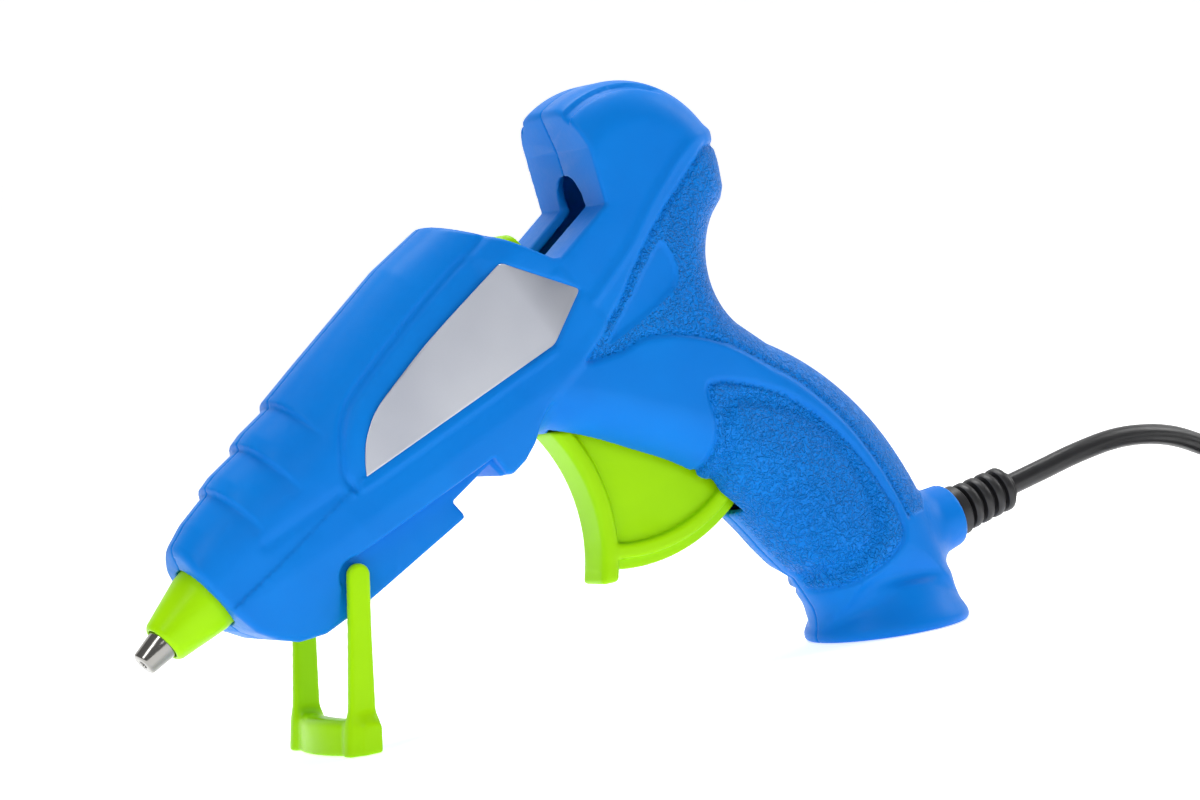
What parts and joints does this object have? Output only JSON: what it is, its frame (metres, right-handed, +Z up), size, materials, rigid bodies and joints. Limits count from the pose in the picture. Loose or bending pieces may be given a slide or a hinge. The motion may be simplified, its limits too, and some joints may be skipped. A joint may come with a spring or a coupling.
{
  "type": "hot glue gun",
  "caption": "Corded hot glue gun with a trigger-driven stick feed, a heated nozzle, a fold-out front stand and a round handle foot.",
  "frame": {"origin": "centre of the box round the gun without its cord, on the floor under the stand and the handle foot", "axes": "+Z up, nozzle towards -X, cord towards +X, mirror plane of the housing at Y = 0"},
  "size_m": [0.3811, 0.0765, 0.1466],
  "materials": {
    "blue_plastic": "satin, fine spark grain",
    "lime_plastic": "satin",
    "silver_label": "satin silver foil, blank",
    "steel": "zinc plated",
    "nozzle_metal": "turned",
    "cast_aluminium": "cast",
    "ceramic": "matte ceramic",
    "silicone": "matte",
    "wire_brown": "matte",
    "black_rubber": "satin",
    "black_plastic": "satin",
    "brass_tube": "plain",
    "nickel": "bright nickel"
  },
  "bodies": {
    "housing": {"left_shell": "blue_plastic", "right_shell": "blue_plastic", "label_left": "silver_label", "label_right": "silver_label", "housing_screws": "steel", "nozzle_guard": "lime_plastic", "nozzle": "nozzle_metal", "check_ball": "steel", "check_spring": "steel", "melt_chamber": "cast_aluminium", "heater": "ceramic", "heater_clip": "steel", "front_insulator": "ceramic", "stick_sleeve": "silicone", "trigger_pin": "steel", "return_spring": "steel", "mains_wires": "wire_brown", "wire_connectors": "brass_tube", "cord_clamp": "black_plastic", "clamp_screws": "steel", "strain_relief": "black_rubber", "cord_tube": "black_rubber", "cord_coil": "black_rubber", "cord_tie": "black_plastic", "plug": "black_rubber", "plug_pins": "nickel"},
    "carriage": {"feed_carriage": "lime_plastic", "drive_pin": "steel", "jaw_pin": "steel"},
    "jaw": {"grip_jaw": "steel"},
    "trigger": {"trigger": "lime_plastic"},
    "stand": {"stand": "lime_plastic"}
  },
  "joints": [
    {"name": "trigger_pull", "type": "hinge", "parent": "housing", "child": "trigger", "pos_m": [0.01797, 0, 0.073], "axis": [0, -1, 0], "range_deg": [0, 20], "stiffness_Nm_per_rad": 0.4, "springref_deg": -11.46},
    {"name": "carriage_feed", "type": "slide", "parent": "housing", "child": "carriage", "axis": [-0.8192, 0, -0.5736], "range_m": [0, 0.0101]},
    {"name": "jaw_rock", "type": "hinge", "parent": "carriage", "child": "jaw", "pos_m": [-0.00638, 0, 0.09063], "axis": [0, 1, 0], "range_deg": [0, 4]},
    {"name": "stand_fold", "type": "hinge", "parent": "housing", "child": "stand", "pos_m": [-0.06201, 0, 0.04106], "axis": [0, -1, 0], "range_deg": [0, 120]}
  ],
  "couplings": [
    {"joint": "carriage_feed", "follows": "trigger_pull", "m_per_rad": 0.02829},
    {"joint": "jaw_rock", "follows": "trigger_pull", "ratio": 0.15}
  ]
}
